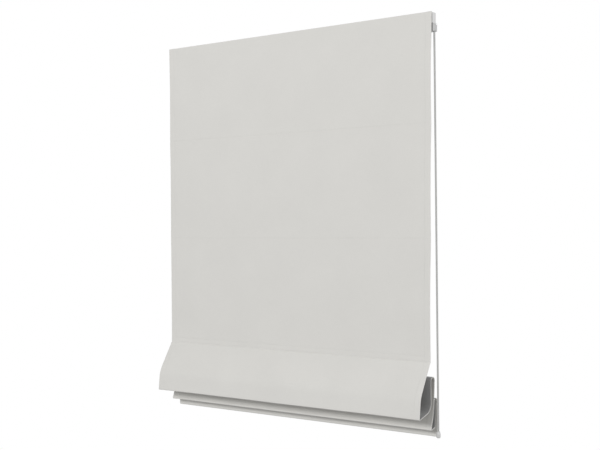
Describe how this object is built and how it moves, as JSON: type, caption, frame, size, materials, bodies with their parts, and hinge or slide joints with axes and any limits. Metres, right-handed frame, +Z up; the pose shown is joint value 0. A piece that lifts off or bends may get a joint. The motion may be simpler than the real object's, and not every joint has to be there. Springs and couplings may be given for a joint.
{
  "type": "roman blind",
  "caption": "roman blind of off-white cloth, lowered with gathered folds at its foot, on a slim wall-hung headrail with a cord lock and hanging pull cord at the right",
  "frame": {"origin": "on the wall plane, midway between the two wall screws", "axes": "+X to the blind's right as seen from the room, +Y into the wall, +Z up"},
  "size_m": [0.8053, 0.1006, 0.97],
  "materials": {
    "rail_paint": "satin white powder coat",
    "cap_plastic": "satin moulded",
    "grip_tape": "napped tape",
    "cloth": "close plain weave",
    "pocket_tape": "woven tape",
    "rod_glass": "smooth",
    "hem_metal": "satin",
    "ring_plastic": "clear white moulded",
    "cord": "braided",
    "guide_plastic": "moulded",
    "pulley_plastic": "smooth",
    "lock_plastic": "satin moulded",
    "pin_steel": "ground",
    "pawl_brass": "plain",
    "end_plastic": "smooth moulded",
    "bracket_zinc": "zinc plated"
  },
  "bodies": {
    "blind": {"headrail": "rail_paint", "end_cap_left": "cap_plastic", "end_cap_right": "cap_plastic", "hem_bar_cap_left": "cap_plastic", "hem_bar_cap_right": "cap_plastic", "hook_tape": "grip_tape", "loop_tape": "grip_tape", "fabric": "cloth", "rod_tape_1": "pocket_tape", "rod_1": "rod_glass", "rod_tape_2": "pocket_tape", "rod_2": "rod_glass", "rod_tape_3": "pocket_tape", "rod_3": "rod_glass", "rod_tape_4": "pocket_tape", "rod_4": "rod_glass", "rod_tape_5": "pocket_tape", "rod_5": "rod_glass", "hem_bar": "hem_metal", "cord_rings": "ring_plastic", "cord_knots": "cord", "lift_cord_left": "cord", "lift_cord_mid": "cord", "lift_cord_right": "cord", "pull_cord": "cord", "cord_guide_left": "guide_plastic", "pulley_pin_left": "pin_steel", "cord_guide_mid": "guide_plastic", "pulley_pin_mid": "pin_steel", "cord_guide_right": "guide_plastic", "pulley_pin_right": "pin_steel", "lock_housing": "lock_plastic", "lock_cover": "lock_plastic", "lock_roller_pin": "pin_steel", "lock_pawl_pin": "pin_steel", "cord_end": "end_plastic", "wall_bracket_left": "bracket_zinc", "wall_bracket_right": "bracket_zinc", "bracket_screws": "bracket_zinc"},
    "guide_pulley_left_body": {"guide_pulley_left": "pulley_plastic"},
    "guide_pulley_mid_body": {"guide_pulley_mid": "pulley_plastic"},
    "guide_pulley_right_body": {"guide_pulley_right": "pulley_plastic"},
    "lock_roller_body": {"lock_roller": "pulley_plastic"},
    "lock_pawl_body": {"lock_pawl": "pawl_brass"}
  },
  "joints": [
    {"name": "guide_pulley_left_spin", "type": "hinge", "parent": "blind", "child": "guide_pulley_left_body", "pos_m": [-0.3, -0.0245, 0.001], "axis": [0, 1, 0], "continuous": true},
    {"name": "guide_pulley_mid_spin", "type": "hinge", "parent": "blind", "child": "guide_pulley_mid_body", "pos_m": [0, -0.0245, 0.001], "axis": [0, 1, 0], "continuous": true},
    {"name": "guide_pulley_right_spin", "type": "hinge", "parent": "blind", "child": "guide_pulley_right_body", "pos_m": [0.3, -0.0245, 0.001], "axis": [0, 1, 0], "continuous": true},
    {"name": "lock_roller_spin", "type": "hinge", "parent": "blind", "child": "lock_roller_body", "pos_m": [0.3951, -0.0245, -0.0221], "axis": [0, 1, 0], "continuous": true},
    {"name": "lock_pawl_swing", "type": "hinge", "parent": "blind", "child": "lock_pawl_body", "pos_m": [0.3811, -0.0245, -0.0241], "axis": [0, 1, 0], "range_deg": [0, 20], "stiffness_Nm_per_rad": 0.0005, "springref_deg": -11.46}
  ],
  "couplings": [
    {"joint": "guide_pulley_mid_spin", "follows": "guide_pulley_left_spin", "ratio": 1},
    {"joint": "guide_pulley_right_spin", "follows": "guide_pulley_left_spin", "ratio": 1},
    {"joint": "lock_roller_spin", "follows": "guide_pulley_left_spin", "ratio": 1.1538}
  ]
}
